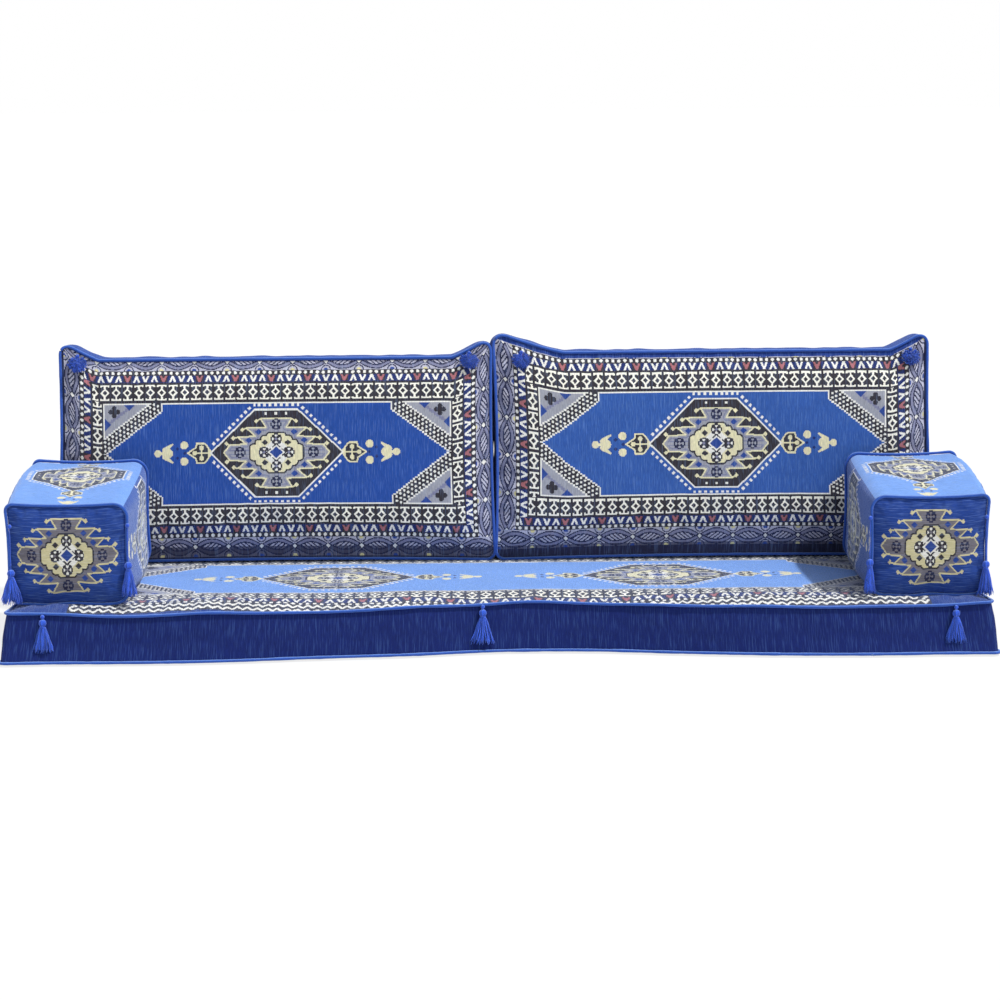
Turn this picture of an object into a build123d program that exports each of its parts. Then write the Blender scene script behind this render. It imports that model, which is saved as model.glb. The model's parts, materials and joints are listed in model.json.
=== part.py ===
import os
from math import asin, atan2, cos, degrees, pi, radians, sin, sqrt

from build123d import *

# Majlis floor sofa: one seat mattress, two back cushions that lean back on it and two arm
# cushions at its front corners. Origin at the centre of the mattress's footprint on the floor,
# +X along the mattress, +Y from its front edge to its back edge, +Z up. Millimetres.

# Seat mattress, measured to the outline of its lower seam
seat_width = 1985.0
seat_depth = 690.0
seat_height = 110.0
seat_low_seam = 7.0
seat_top_seam = 98.0
seat_flare = 8.0
seat_front_bow = 55.0
seat_side_bow = 9.0
seat_corner = 24.0
seat_foot_inset = 10.0
seat_crown_reach = 90.0

# Back cushions, measured to the outline of their front seam
back_width = 946.0
back_height = 436.0
back_thickness = 122.0
back_lean = 9.1
back_spacing = 4.0
back_front_crown = 22.0
back_side_crown = 10.0
back_side_bow = 6.0
back_ear = 25.0
back_ear_run = 80.0
back_ear_round = 13.0
back_ear_turn = 30.0
back_low_round = 22.0
back_crown_reach = 130.0

# Arm cushions, measured to the outline of their front seam
arm_width = 236.0
arm_height = 196.0
arm_depth = 344.0
arm_front = 56.0
arm_inset = 7.5
arm_to_back = 31.0
arm_front_crown = 12.0
arm_side_crown = 12.0
arm_bow = 5.0
arm_round = 34.0
arm_crown_reach = 50.0

# How much a back cushion's corners round off for each step inwards
round_growth_share = 0.25

# Covers, fillings and the clearances between the soft pieces
cover = 2.0
fill_gap = 0.8
rest_gap = 0.3
piping = 7.0
piping_sides = 6
piping_gap = 0.4
piping_lead = 1.5

# How a crowned face swells from its seam: shares of its reach inwards and of its rise
crown_inset_shares = (0.0, 0.1, 0.25, 0.55, 1.0)
crown_rise_shares = (0.0, 0.32, 0.62, 0.9, 1.0)
ear_fade_shares = (1.0, 0.85, 0.65, 0.4, 0.2)

# How a boxing swells between its seams: shares of its depth and of its swell
swell_depth_shares = (0.0, 0.2, 0.5, 0.8, 1.0)
swell_shares = (0.0, 0.68, 1.0, 0.68, 0.0)

# Facets in a rounded corner, and along a short, a long and the front seam
corner_parts = 4
short_parts = 4
long_parts = 8
front_parts = 16
flat_share = 1e-9

# Tassels
knot = 8.0
tassel_cord = 3.0
tassel_head = 13.0
tassel_neck = 9.0
tassel_neck_length = 5.0
skirt_shoulder = 15.0
skirt_shoulder_length = 9.0
skirt_hem = 21.0
tassel_sides = 8
tassel_gap = 0.5
seat_skirt = 48.0
middle_skirt = 52.0
arm_skirt = 52.0
back_skirt = 38.0
seat_tassel_cord = 2.0
back_tassel_cord = 5.0
left_outer_cord = 86.0
left_inner_cord = 72.0
right_inner_cord = 82.0
right_outer_cord = 88.0
tassel_swing = 75.0
seat_tassel_inset = 66.0
middle_tassel_place = -36.0
arm_tassel_drop = 42.0
back_tassel_inset = 46.0
back_tassel_lean = 20.0

# Hidden zips of the covers
zip_tape_width = 26.0
zip_tape = 1.0
zip_coil_width = 6.0
zip_coil = 2.0
zip_end = 12.0
zip_stop = 3.0
seat_zip_length = 1100.0
back_zip_length = 560.0
arm_zip_length = 150.0
back_zip_rise = 60.0
arm_zip_rise = 165.0
slider_length = 12.0
slider_width = 10.0
slider_height = 4.4
slider_gap = 0.3
bail_bar = 1.8
bail_post = 1.6
eye_wall = 1.0
eye_gap = 0.35
eye_length = 4.0
eye_sides = 8
pull_length = 18.0
pull_width = 7.0
pull_thickness = 1.4

overrun = 10.0

# Values that follow from the sizes above
piping_flat = piping / 2 * cos(pi / piping_sides)
piping_out = piping_flat + piping_gap
lean = radians(back_lean)
tape_reach = zip_tape + slider_gap + slider_height
bail_height = tape_reach + eye_wall + eye_gap + bail_bar * sqrt(2) / 2 + slider_gap


# Rings of points round an outline, and the solids that facets between such rings close


def seam_point(start, end, bow, share):
    """A point at a share of the way along a seam that is drawn in to its left by bow."""
    run = end - start
    inward = Vector(-run.Y, run.X) / run.length
    return start + run * share + inward * (4 * bow * share * (1 - share))


def seam_ring(corners, bows, rounds, parts):
    """Points anticlockwise round an outline with bowed seams and rounded corners."""
    corners = [Vector(*corner) for corner in corners]
    points = []
    for i, corner in enumerate(corners):
        j = (i + 1) % len(corners)
        before, after = corners[i - 1], corners[j]
        length = (after - corner).length
        first, last = rounds[i] / length, 1 - rounds[j] / length
        enter = seam_point(before, corner, bows[i - 1], 1 - rounds[i] / (corner - before).length)
        leave = seam_point(corner, after, bows[i], first)
        for step in range(corner_parts + 1):
            share = step / corner_parts
            sides = enter * (1 - share) ** 2 + leave * share ** 2
            points.append(sides + corner * (2 * share * (1 - share)))
        for step in range(1, parts[i]):
            points.append(seam_point(corner, after, bows[i], first + (last - first) * step / parts[i]))
    return points


def grown(ring, amount):
    """The ring moved outwards in parallel, or inwards where amount is negative."""
    moved = []
    for i, point in enumerate(ring):
        before = (point - ring[i - 1]).normalized()
        after = (ring[(i + 1) % len(ring)] - point).normalized()
        out = Vector(before.Y + after.Y, -before.X - after.X)
        moved.append(point + out * (2 * amount / out.dot(out)))
    return moved


def on_plane(plane, ring):
    return [plane.from_local_coords((point.X, point.Y, 0)) for point in ring]


def facet(*points):
    return Face(Wire.make_polygon(points, close=True))


def lie_flat(a, b, c, d):
    """Whether four points lie on one plane."""
    edges = (b - a).normalized(), (c - a).normalized(), (d - a).normalized()
    return abs(edges[0].cross(edges[1]).dot(edges[2])) < flat_share


def wall(low, high):
    """Facets between two rings of as many points."""
    faces = []
    for i in range(len(low)):
        corners = low[i - 1], low[i], high[i], high[i - 1]
        if lie_flat(*corners):
            faces.append(facet(*corners))
        else:
            faces.append(facet(*corners[:3]))
            faces.append(facet(corners[0], *corners[2:]))
    return faces


def stacked(rings):
    """A solid through rings in turn, with a flat face at each end."""
    faces = [facet(*rings[0]), facet(*rings[-1])]
    for low, high in zip(rings, rings[1:]):
        faces += wall(low, high)
    return Solid(Shell(faces))


def looped(rings):
    """A solid band through rings in turn and back to the first."""
    faces = []
    for low, high in zip(rings, rings[1:] + rings[:1]):
        faces += wall(low, high)
    return Solid(Shell(faces))


def piping_along(ring, plane):
    """Piping outside a ring that lies on a plane."""
    rings = []
    for side in range(piping_sides):
        turn = 2 * pi * (side + 1 / 2) / piping_sides
        rim = grown(ring, piping_out + piping / 2 * cos(turn))
        rings.append(on_plane(plane.offset(piping / 2 * sin(turn)), rim))
    return looped(rings)


# Seat mattress


def seat_ring(skin, height, flare=0.0, inset=0.0):
    """The mattress's outline. Its back edge is straight and upright, because it meets a wall."""
    half = seat_width / 2 - flare - inset
    front = -seat_depth / 2 + flare + inset
    back = seat_depth / 2 - inset
    corners = ((-half, front), (half, front), (half, back), (-half, back))
    bows = (seat_front_bow, seat_side_bow, 0, seat_side_bow)
    parts = (front_parts, short_parts, 1, short_parts)
    ring = seam_ring(corners, bows, (seat_corner,) * len(corners), parts)
    return on_plane(Plane.XY.offset(height), grown(ring, -skin))


def seat_boxing_rings(skin):
    return [seat_ring(skin, seat_low_seam), seat_ring(skin, seat_top_seam, seat_flare)]


def seat_crown_rings(skin):
    rise = seat_height - seat_top_seam - skin
    rings = []
    for inset_share, rise_share in zip(crown_inset_shares, crown_rise_shares):
        height = seat_top_seam + rise * rise_share
        rings.append(seat_ring(skin, height, seat_flare, seat_crown_reach * inset_share))
    return rings


def seat_base_rings(skin):
    return [seat_ring(skin, skin, inset=seat_foot_inset), seat_ring(skin, seat_low_seam)]


def make_seat():
    inner = cover + fill_gap
    core = seat_base_rings(inner) + seat_crown_rings(inner)
    boxing = seat_boxing_rings(0) + seat_boxing_rings(cover)[::-1]
    base = seat_base_rings(0) + seat_base_rings(cover)[::-1]
    top_seam = seat_ring(0, 0, seat_flare)
    base_seam = seat_ring(0, 0)
    return {
        "seat_foam_core": stacked(core),
        "seat_top_panel": stacked(seat_crown_rings(0)[::-1] + seat_crown_rings(cover)),
        "seat_boxing": looped(boxing),
        "seat_base_panel": stacked(base),
        "seat_top_piping": piping_along(top_seam, Plane.XY.offset(seat_top_seam)),
        "seat_base_piping": piping_along(base_seam, Plane.XY.offset(seat_low_seam)),
    }


# Back and arm cushions: a crowned front panel, a flat back panel and a boxing that swells
# between them, each with its piping


def back_plane(side, behind=0):
    """The leaning plane of a back cushion's front seam, or one parallel to it further back."""
    across = side * (back_width / 2 + piping_out + piping / 2 + back_spacing)
    depth = -seat_depth / 2 + arm_front + arm_depth + arm_to_back + behind
    rise = seat_height + rest_gap + back_side_crown * cos(lean)
    return Plane((across, depth, rise), x_dir=(1, 0, 0), z_dir=(0, -cos(lean), sin(lean)))


def arm_plane(side, behind=0):
    """The upright plane of an arm cushion's front seam, or one parallel to it further back."""
    across = side * (seat_width / 2 + piping_out + piping / 2 - arm_inset - arm_width / 2)
    depth = -seat_depth / 2 + arm_front + behind
    rise = seat_height + rest_gap + arm_side_crown
    return Plane((across, depth, rise), x_dir=(1, 0, 0), z_dir=(0, -1, 0))


def back_ring(inset=0.0, fade=1.0):
    """A back cushion's seam, with an ear at each upper corner. inset makes a smaller one."""
    half = back_width / 2 - inset
    turn = half - back_ear_run
    high = back_height - inset
    tip = high + back_ear * fade
    corners = ((-half, inset), (half, inset), (half, tip), (turn, high), (-turn, high), (-half, tip))
    low_round = back_low_round + inset * round_growth_share
    tip_round = back_ear_round + inset * round_growth_share
    rounds = (low_round, low_round, tip_round, back_ear_turn, back_ear_turn, tip_round)
    bows = (back_side_bow, back_side_bow, 0, 0, 0, back_side_bow)
    parts = (long_parts, short_parts, 1, 1, 1, short_parts)
    return seam_ring(corners, bows, rounds, parts)


def arm_ring(inset=0.0, fade=1.0):
    """An arm cushion's seam, straight below where it rests. inset makes a smaller one."""
    half = arm_width / 2 - inset
    high = arm_height - inset
    corners = ((-half, inset), (half, inset), (half, high), (-half, high))
    bows = (0, arm_bow, arm_bow, arm_bow)
    rounds = (arm_round,) * len(corners)
    return seam_ring(corners, bows, rounds, (short_parts,) * len(corners))


def make_cushion(name, ring, plane, side, depth, front_crown, reach, side_crown):
    """The filling of a cushion, the panels of its cover and the piping in its two seams."""

    def crown(skin):
        rings = []
        for inset, rise, fade in zip(crown_inset_shares, crown_rise_shares, ear_fade_shares):
            height = (front_crown - skin) * rise
            rings.append(on_plane(plane(side).offset(height), grown(ring(reach * inset, fade), -skin)))
        return rings

    def boxing(skin):
        rings = []
        for behind, swell in zip(swell_depth_shares, swell_shares):
            outline = grown(ring(), side_crown * swell - skin)
            rings.append(on_plane(plane(side, depth * behind), outline))
        return rings

    inner = cover + fill_gap
    rear = plane(side, depth)
    rear_rings = [on_plane(rear, ring()), on_plane(rear.offset(-cover), ring())]
    return {
        f"{name}_filling": stacked(crown(inner)[::-1] + boxing(inner)[1:]),
        f"{name}_front_panel": stacked(crown(0)[::-1] + crown(cover)),
        f"{name}_boxing": looped(boxing(0) + boxing(cover)[::-1]),
        f"{name}_rear_panel": stacked(rear_rings),
        f"{name}_front_piping": piping_along(ring(), plane(side).offset(piping_lead)),
        f"{name}_rear_piping": piping_along(ring(), rear.offset(-piping_lead)),
    }


# Tassels hang from a knot on the piping and rest against the face below it


def tassel(cord_length, skirt_length):
    """A tassel about the Z axis that hangs from the centre of its knot at the origin."""
    head_top = -knot / 2 - cord_length
    neck_top = head_top - tassel_head
    shoulder_top = neck_top - tassel_neck_length
    girths = (
        (knot / 2, tassel_cord),
        (0, knot),
        (-knot / 2, tassel_cord),
        (head_top, tassel_cord),
        (head_top - tassel_head / 2, tassel_head),
        (neck_top, tassel_neck),
        (shoulder_top, tassel_neck),
        (shoulder_top - skirt_shoulder_length, skirt_shoulder),
        (shoulder_top - skirt_length, skirt_hem),
    )
    rings = []
    for height, girth in girths:
        turns = [2 * pi * step / tassel_sides for step in range(tassel_sides)]
        rings.append([Vector(girth / 2 * cos(turn), girth / 2 * sin(turn), height) for turn in turns])
    return stacked(rings)


def leaning_tassel(place, tilt, cord_length, skirt_length):
    """A tassel whose foot leans out by tilt degrees from its knot at place."""
    return Location(place, (-tilt, 0, 0)) * tassel(cord_length, skirt_length)


def knot_place(plane, across, up):
    """The centre of a knot that lies on the front of the piping at a point of a seam plane."""
    return plane.from_local_coords((across, up, piping_lead + piping / 2 + tassel_gap + knot / 2))


def seat_tassels():
    """Two tassels near the front corners and one beside the middle of the front edge."""
    half = seat_width / 2 - seat_tassel_inset
    slope = degrees(atan2(seat_flare, seat_top_seam - seat_low_seam))
    tassels = {}
    for name, across, skirt in (
        ("left", -half, seat_skirt),
        ("middle", middle_tassel_place, middle_skirt),
        ("right", half, seat_skirt),
    ):
        bow = seat_front_bow * (1 - (across / (seat_width / 2 - seat_flare)) ** 2)
        front = -seat_depth / 2 + seat_flare + bow - piping_flat - piping_out
        place = Vector(across, front - tassel_gap - knot / 2, seat_top_seam)
        tassels[f"seat_tassel_{name}"] = (place, slope, seat_tassel_cord, skirt)
    return tassels


def arm_tassels(name, side, cords):
    """Two tassels on the upper front corners, the outer one first."""
    plane = arm_plane(side)
    places = {}
    for corner, away, cord in (("outer", side, cords[0]), ("inner", -side, cords[1])):
        across = away * (arm_width / 2 + piping_out - arm_bow / 2)
        place = knot_place(plane, across, arm_height - arm_tassel_drop)
        drop = knot / 2 + cord + tassel_head + tassel_neck_length + arm_skirt
        tilt = degrees(asin((skirt_hem - knot) / 2 / drop))
        places[f"{name}_tassel_{corner}"] = (place, tilt, cord, arm_skirt)
    return places


def back_tassels(name, side):
    """Two tassels at the ears, the outer one first."""
    plane = back_plane(side)
    places = {}
    for corner, away in (("outer", side), ("inner", -side)):
        across = away * (back_width / 2 - back_tassel_inset)
        climb = back_ear * (1 - back_tassel_inset / back_ear_run)
        place = knot_place(plane, across, back_height + piping_out + climb)
        tilt = back_lean + back_tassel_lean
        places[f"{name}_tassel_{corner}"] = (place, tilt, back_tassel_cord, back_skirt)
    return places


# Zips lie on a flat back face, each with a slider that runs along its coil and a pull


def zip_parts(length):
    """A closed zip along X on the XY plane, its slider at the left end and its pull."""
    coil_length = length - 2 * zip_end
    base = (Align.CENTER, Align.CENTER, Align.MIN)
    track = Box(length, zip_tape_width, zip_tape, align=base)
    track += Pos(0, 0, zip_tape) * Box(coil_length, zip_coil_width, zip_coil, align=base)
    for end in (-1, 1):
        across = end * (coil_length + zip_stop) / 2
        stop = Box(zip_stop, zip_coil_width, zip_coil + zip_stop / 2, align=base)
        track += Pos(across, 0, zip_tape) * stop
    start = slider_start(length)
    body = Pos(start, 0, zip_tape + slider_gap) * Box(
        slider_length, slider_width, slider_height, align=base
    )
    channel = Box(
        slider_length + overrun,
        zip_coil_width + 2 * slider_gap,
        zip_coil + slider_gap,
        align=base,
    )
    body -= Pos(start, 0, zip_tape) * channel
    posts = eye_length + 2 * slider_gap + bail_post
    for end in (-1, 1):
        post = Box(bail_post, bail_bar, bail_height - tape_reach, align=base)
        body += Pos(start + end * posts / 2, 0, tape_reach) * post
    bar = Box(posts + bail_post, bail_bar, bail_bar)
    body += Pos(start, 0, bail_height) * bar
    return track, body


def slider_start(length):
    return -length / 2 + zip_end + slider_length / 2 + slider_gap


def slider_travel(length):
    return length - 2 * (zip_end + slider_length / 2 + slider_gap)


def pull_tab():
    """A pull that hangs down along -Z from the bar of its slider at the origin."""
    bore = bail_bar * sqrt(2) / 2 + eye_gap
    ring = RegularPolygon(bore + eye_wall, eye_sides, major_radius=False)
    ring -= RegularPolygon(bore, eye_sides, major_radius=False)
    eye = extrude(Plane.YZ * ring, eye_length / 2, both=True)
    neck_low = bore + eye_wall
    top = (Align.CENTER, Align.CENTER, Align.MAX)
    tab = Pos(0, 0, -neck_low + eye_wall / 2) * Box(pull_width, pull_thickness, pull_length, align=top)
    return eye + tab


def make_zip(name, plane, length):
    """plane faces out of the cover, with its X along the zip and its Y up."""
    track, body = zip_parts(length)
    bar = plane.from_local_coords((slider_start(length), 0, bail_height))
    return {
        f"{name}_zip": plane * track,
        f"{name}_zip_slider": plane * body,
        f"{name}_zip_pull": Pos(*bar) * pull_tab(),
    }, bar


def rear_plane(front_plane, up):
    """The plane of a rear panel's outer face, seen from behind, at a height on it."""
    face = front_plane.offset(-cover)
    origin = face.from_local_coords((0, up, 0))
    return Plane(origin, x_dir=(-1, 0, 0), z_dir=-face.z_dir)


def main():
    nodes = dict(make_seat())
    hinges = dict(seat_tassels())
    pulls = {}
    seat_back = Plane((0, seat_depth / 2, (seat_low_seam + seat_top_seam) / 2), (-1, 0, 0), (0, 1, 0))
    zips = {"seat": (seat_back, seat_zip_length)}
    cords = {"left": (left_outer_cord, left_inner_cord), "right": (right_outer_cord, right_inner_cord)}
    for word, side in (("left", -1), ("right", 1)):
        back, arm = f"back_{word}", f"arm_{word}"
        nodes.update(
            make_cushion(
                back, back_ring, back_plane, side, back_thickness,
                back_front_crown, back_crown_reach, back_side_crown,
            )
        )
        nodes.update(
            make_cushion(
                arm, arm_ring, arm_plane, side, arm_depth,
                arm_front_crown, arm_crown_reach, arm_side_crown,
            )
        )
        hinges.update(back_tassels(back, side))
        hinges.update(arm_tassels(arm, side, cords[word]))
        zips[back] = (rear_plane(back_plane(side, back_thickness), back_zip_rise), back_zip_length)
        zips[arm] = (rear_plane(arm_plane(side, arm_depth), arm_zip_rise), arm_zip_length)
    for name, (place, tilt, cord, skirt) in hinges.items():
        nodes[name] = leaning_tassel(place, tilt, cord, skirt)
        print("hinge", name, *(round(c, 4) for c in place), tassel_swing - tilt)
    for name, (plane, length) in zips.items():
        pieces, bar = make_zip(name, plane, length)
        nodes.update(pieces)
        pulls[name] = bar
        print("pull", name, *(round(c, 4) for c in bar), round(slider_travel(length), 4))
    os.makedirs("parts", exist_ok=True)
    for name, shape in nodes.items():
        export_step(shape, f"parts/{name}.step")
        print(name, len(shape.solids()), round(shape.volume))


main()
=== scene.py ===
import json
import math

import bpy
import numpy as np
from mathutils import Matrix, Vector


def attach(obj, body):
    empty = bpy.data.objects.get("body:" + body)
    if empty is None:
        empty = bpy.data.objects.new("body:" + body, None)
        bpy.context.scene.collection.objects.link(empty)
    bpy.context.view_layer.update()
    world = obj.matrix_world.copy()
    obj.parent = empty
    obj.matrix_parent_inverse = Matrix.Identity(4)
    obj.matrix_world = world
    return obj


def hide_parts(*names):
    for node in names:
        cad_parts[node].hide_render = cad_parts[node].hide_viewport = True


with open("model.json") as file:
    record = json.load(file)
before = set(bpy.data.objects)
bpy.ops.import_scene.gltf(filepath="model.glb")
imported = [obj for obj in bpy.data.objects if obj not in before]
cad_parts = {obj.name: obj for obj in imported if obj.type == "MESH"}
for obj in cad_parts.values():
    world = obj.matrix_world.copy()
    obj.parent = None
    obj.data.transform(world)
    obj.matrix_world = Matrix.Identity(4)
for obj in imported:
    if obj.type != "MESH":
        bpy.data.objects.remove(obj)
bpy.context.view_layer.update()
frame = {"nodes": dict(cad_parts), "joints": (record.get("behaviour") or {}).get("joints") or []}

MM = 0.001
JOINT_OF = {joint["child"]: joint for joint in frame["joints"]}

# Sizes in millimetres, as in the solids, but for the corners' rounds and the backs' ears, which
# follow the photo more closely here
SEAT_WIDTH, SEAT_DEPTH, SEAT_HEIGHT = 1985.0, 690.0, 110.0
SEAT_LOW, SEAT_TOP, SEAT_FLARE = 7.0, 98.0, 8.0
SEAT_SIDE_BOW, SEAT_CORNER, SEAT_REACH, SEAT_FOOT = 9.0, 13.0, 90.0, 10.0
BACK_WIDTH, BACK_HEIGHT, BACK_DEPTH, LEAN = 946.0, 436.0, 122.0, math.radians(9.1)
BACK_CROWN, BACK_SWELL, BACK_BOW, BACK_REACH = 22.0, 10.0, 6.0, 130.0
EAR, EAR_RUN, BACK_ROUND, EAR_ROUND = 42.0, 84.0, 16.0, 26.0
ARM_WIDTH, ARM_HEIGHT, ARM_DEPTH = 236.0, 196.0, 344.0
ARM_CROWN, ARM_SWELL, ARM_BOW, ARM_REACH = 12.0, 12.0, 5.0, 50.0
ARM_ROUND, ARM_INNER_ROUND = 30.0, 13.0
BACK_SINK, ARM_SINK = 15.0, -31.0     # how much lower a cushion's rear top is than its front top
CORD, CORD_OUT, CORD_LEAD = 3.2, 3.2, 1.5
ARM_TOP = ARM_WIDTH + ARM_HEIGHT    # where the middle of an arm's top lies along its boxing
ARM_FACES = ((ARM_TOP / 2, ARM_HEIGHT / 2), (ARM_TOP, ARM_WIDTH / 2), (1.5 * ARM_TOP, ARM_HEIGHT / 2))

# How fine the cloths are: the sides of their cells in millimetres
BACK_CELL, ARM_CELL, REAR_CELL = 1.55, 1.7, 8.0
BAND_CELL, PLAIN_BAND_CELL, CORD_CELL = 2.4, 6.0, 4.0
SEAT_CELL, SEAT_BAND_CELL, SEAT_CORD_CELL = 2.4, 6.0, 4.5
SEAT_LAYERS = 18

CLOTH_FRAMES = 20
YARN_PITCH = 2.3
BOX_LUMPS, SEAT_LUMPS = 2.2, 1.6
CORD_SIDES, CORD_UNEVEN = 10, 0.12
DIMPLE, DIMPLE_REACH = 6.0, 20.0
STRAIGHT_OUT = 75.0    # a tassel's full turn in degrees, less what it leans at rest
KNOT, YARN = (3.6, 3.4, 3.8), 0.85
TUFT_YARNS, TASSEL_YARNS = 430, 120


# Colours


def linear(colour):
    """The linear values of a colour given as sRGB numbers from 0 to 255."""
    c = np.asarray(colour, float) / 255
    return np.where(c <= 0.04045, c / 12.92, ((c + 0.055) / 1.055) ** 2.4)


COLOURS = {
    "field": (34, 76, 160),
    "lit_field": (112, 158, 232),
    "navy": (30, 44, 104),
    "plain": (28, 64, 146),
    "charcoal": (50, 46, 52),
    "white": (236, 235, 228),
    "cream": (230, 224, 184),
    "sunny_field": (48, 90, 168),
    # The next two are painted shade: the pattern's pale and lilac, darkened along the back cushions' lower
    # edge
    "shade": (92, 92, 112),
    "deep": (66, 66, 88),
    # The next two are painted shade: darker tones of the grey and the cream for the arms' shaded fronts
    "taupe_painted_shade": (116, 112, 120),
    "sand_painted_shade": (210, 202, 158),
    "hem": (22, 54, 132),
    "bone": (244, 242, 230),
    "grey": (158, 160, 170),
    "lilac": (128, 130, 158),
    "pale": (182, 182, 200),
    "ink": (34, 36, 68),
    "red": (168, 104, 108),
    "straw": (214, 206, 150),
    "blue": (42, 70, 148),
}
NAMES = list(COLOURS)


def blank(shape, name):
    return np.full(shape, NAMES.index(name))


def paint(canvas, mask, name):
    canvas[mask] = NAMES.index(name)


def repaint(canvas, swaps, where=True):
    """Swaps colours for other ones, such as their shaded tones."""
    for old, new in swaps:
        paint(canvas, where & (canvas == NAMES.index(old)), new)


def wrap(s, pitch):
    """Distance from the nearest repeat of a motif, from -pitch / 2 to pitch / 2."""
    return (s + pitch / 2) % pitch - pitch / 2


# The traditional kilim pattern, in units of about 2.2 mm from its centre


def near_line(a, b, start, end):
    """Distance to a straight stroke."""
    (ax, ay), (bx, by) = start, end
    ex, ey = bx - ax, by - ay
    share = np.clip(((a - ax) * ex + (b - ay) * ey) / (ex * ex + ey * ey), 0, 1)
    return np.hypot(a - ax - share * ex, b - ay - share * ey)


def poly_distance(a, b, points):
    """Signed distance to a polygon, negative inside."""
    best = np.full(a.shape, 1e9)
    inside = np.zeros(a.shape, bool)
    for start, end in zip(points, points[1:] + points[:1]):
        (ax, ay), (bx, by) = start, end
        best = np.minimum(best, near_line(a, b, start, end))
        if ay != by:
            inside ^= ((ay > b) != (by > b)) & (a < ax + (b - ay) / (by - ay) * (bx - ax))
    return np.where(inside, -best, best)


def diamond(p, q, x, y, size, squash=1.0):
    """Inside a diamond round a point, wider than high by squash."""
    return np.abs(p - x) / squash + np.abs(q - y) < size


def disc(p, q, x, y, size):
    return np.hypot(p - x, q - y) < size


def x_flower(canvas, a, b, size, petal="charcoal", heart="lilac"):
    """A small flower of four forked petals round a square heart."""
    p, q = np.abs(a) / size, np.abs(b) / size
    big, small = np.maximum(p, q), np.minimum(p, q)
    paint(canvas, (np.abs(p - q) < 0.3) & (big < 0.62), petal)
    paint(canvas, (np.abs(big - 0.66) < 0.17) & (small > 0.26) & (small < 0.72), petal)
    paint(canvas, (np.abs(big - 0.9) < 0.13) & (small < 0.34), petal)
    paint(canvas, (p + q < 0.3), heart)


def blossom(canvas, a, b, size, name, where):
    """A dark flower of four round petals."""
    p, q = np.abs(a), np.abs(b)
    big, small = np.maximum(p, q), np.minimum(p, q)
    paint(canvas, where & (np.hypot(big - size * 0.62, small) < size * 0.44), name)
    paint(canvas, where & (big < size * 0.24), name)


def rosette(canvas, a, b):
    """The lobed flower at the heart of a medallion."""
    p, q = np.abs(a), np.abs(b)
    lobes = [(26.0, 7.2), (9.2, 18.8), (20.6, 11.8), (15.0, 15.8)]
    shape = np.full(a.shape, 1e9)
    for w, h in lobes:
        dx, dy = p - w + 3, q - h + 3
        shape = np.minimum(shape, np.hypot(np.maximum(dx, 0), np.maximum(dy, 0)) - 3)
    paint(canvas, shape < 1.5, "charcoal")
    paint(canvas, shape < 0, "cream")
    petals = disc(p, q, 12.2, 0, 5.6) | disc(p, q, 0, 13, 4.6)
    paint(canvas, (p / 17.0 + q / 15.0 < 1) | petals, "white")
    for x, y in ((12.2, 0), (0, 13.0)):
        x_flower(canvas, p - x, q - y, 5.4)
    paint(canvas, diamond(p, q, 11.4, 9.6, 2.9, 1.15), "charcoal")
    gem = p / 8.6 + q / 7.4
    paint(canvas, (gem < 1.22) & (np.abs(p - q * 1.16) > 1.6), "charcoal")
    paint(canvas, gem < 1.0, "white")
    paint(canvas, gem < 0.76, "blue")


SERRATED = [(-1, 33.2), (15.4, 32.8), (10.0, 24.4), (29.6, 23.8), (20.6, 15.8), (38.4, 14.9),
            (30.2, 8.2), (46.4, 7.2), (52.4, 0), (52.4, -1), (-1, -1)]
HOOKS = (((15.4, 32.8), (19.6, 30.6)), ((29.6, 23.8), (33.6, 22.2)), ((38.4, 14.9), (42.8, 14.0)),
         ((46.4, 7.2), (49.6, 8.6)))


def serrated_medallion(canvas, a, b):
    """The grey medallion with stepped arrow edges, cream knobs and the rosette."""
    p, q = np.abs(a), np.abs(b)
    edge = poly_distance(p, q, SERRATED)
    for start, end in HOOKS:
        paint(canvas, near_line(p, q, start, end) < 0.7, "cream")
        paint(canvas, diamond(p, q, *end, 2.3), "cream")
    paint(canvas, edge < 0.7, "cream")
    paint(canvas, edge < -0.7, "grey")
    paint(canvas, (edge < -2.2) & (edge > -3.4), "lilac")
    for x, y in ((0, 27.4), (36.4, 0)):
        x_flower(canvas, p - x, q - y, 5.3, "ink", "grey")
    for x, y in ((17.6, 20.0), (27.4, 11.8)):
        paint(canvas, diamond(p, q, x, y, 3.0, 1.15), "blue")
    rosette(canvas, a, b)


def hexagon_medallion(canvas, a, b):
    """A serrated medallion in a charcoal hexagon with a white line and a row of squares."""
    p, q = np.abs(a), np.abs(b)
    level, slope = q - 41.8, ((p - 21.4) * 41.8 + (q - 41.8) * 44.0) / 60.7
    inner = np.maximum(level, slope)
    paint(canvas, inner < 0.75, "white")
    paint(canvas, inner < -0.75, "charcoal")
    paint(canvas, (np.abs(q - 38.0) < 1.15) & (np.abs(wrap(p, 10.0)) < 1.15) & (p < 13), "white")
    flat = (p < 22.6) & (np.abs(level - 4.4) < 1.3) & (np.abs(wrap(p, 5.5)) < 1.4)
    along = (p - 21.4) * 44.0 / 60.7 - (q - 41.8) * 41.8 / 60.7
    squares = (np.abs(slope - 4.4) < 1.35) & (np.abs(along % 5.5 - 2.75) < 1.4) & (level < 3.2)
    paint(canvas, flat | (squares & (along < 56.0)), "white")
    serrated_medallion(canvas, a, b)


TREFOIL = [(64.6, -1), (64.6, 0.8), (67.4, 4.4), (69.8, 7.8), (72.0, 9.4), (79.6, 9.4), (80.2, 5.4),
           (88.8, 0), (88.8, -1)]


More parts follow.
